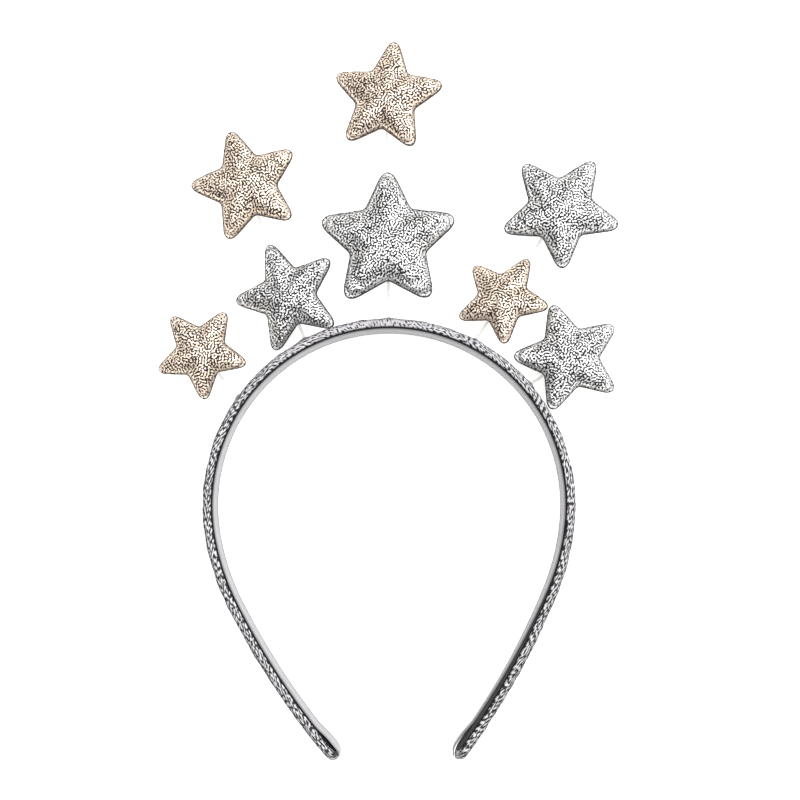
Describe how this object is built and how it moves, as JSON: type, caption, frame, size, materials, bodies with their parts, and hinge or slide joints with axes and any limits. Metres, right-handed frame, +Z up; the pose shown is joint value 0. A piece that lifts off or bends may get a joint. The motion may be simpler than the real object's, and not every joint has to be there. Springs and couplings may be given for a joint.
{
  "type": "star headband",
  "caption": "Horseshoe headband wrapped in silver glitter fabric, with padded silver and gold glitter stars that stand above its crown on thin clear stems.",
  "frame": {"origin": "under the middle of the whole headband, on the surface that it lies on", "axes": "+X to the right as the stars are seen from the front, +Y from the band's ends to its stars, +Z up from the surface, out of the front edge"},
  "size_m": [0.1608, 0.247, 0.013],
  "materials": {
    "silver_glitter_fabric": "crinkled silver glitter fabric, bright flakes with dark gaps",
    "gold_glitter_fabric": "crinkled champagne gold glitter fabric, bright flakes with dark gaps",
    "lining_fabric": "light grey satin ribbon, soft sheen",
    "clear_plastic": "clear and glossy"
  },
  "bodies": {
    "root": {"band": "silver_glitter_fabric", "lining": "lining_fabric", "stem_far_left": "clear_plastic", "stem_left": "clear_plastic", "stem_centre": "clear_plastic", "stem_right": "clear_plastic", "stem_far_right": "clear_plastic", "star_gold_far_left": "gold_glitter_fabric", "star_silver_left_low": "silver_glitter_fabric", "star_gold_left": "gold_glitter_fabric", "star_silver_centre": "silver_glitter_fabric", "star_gold_top": "gold_glitter_fabric", "star_gold_right": "gold_glitter_fabric", "star_silver_right": "silver_glitter_fabric", "star_silver_right_low": "silver_glitter_fabric"}
  },
  "joints": []
}
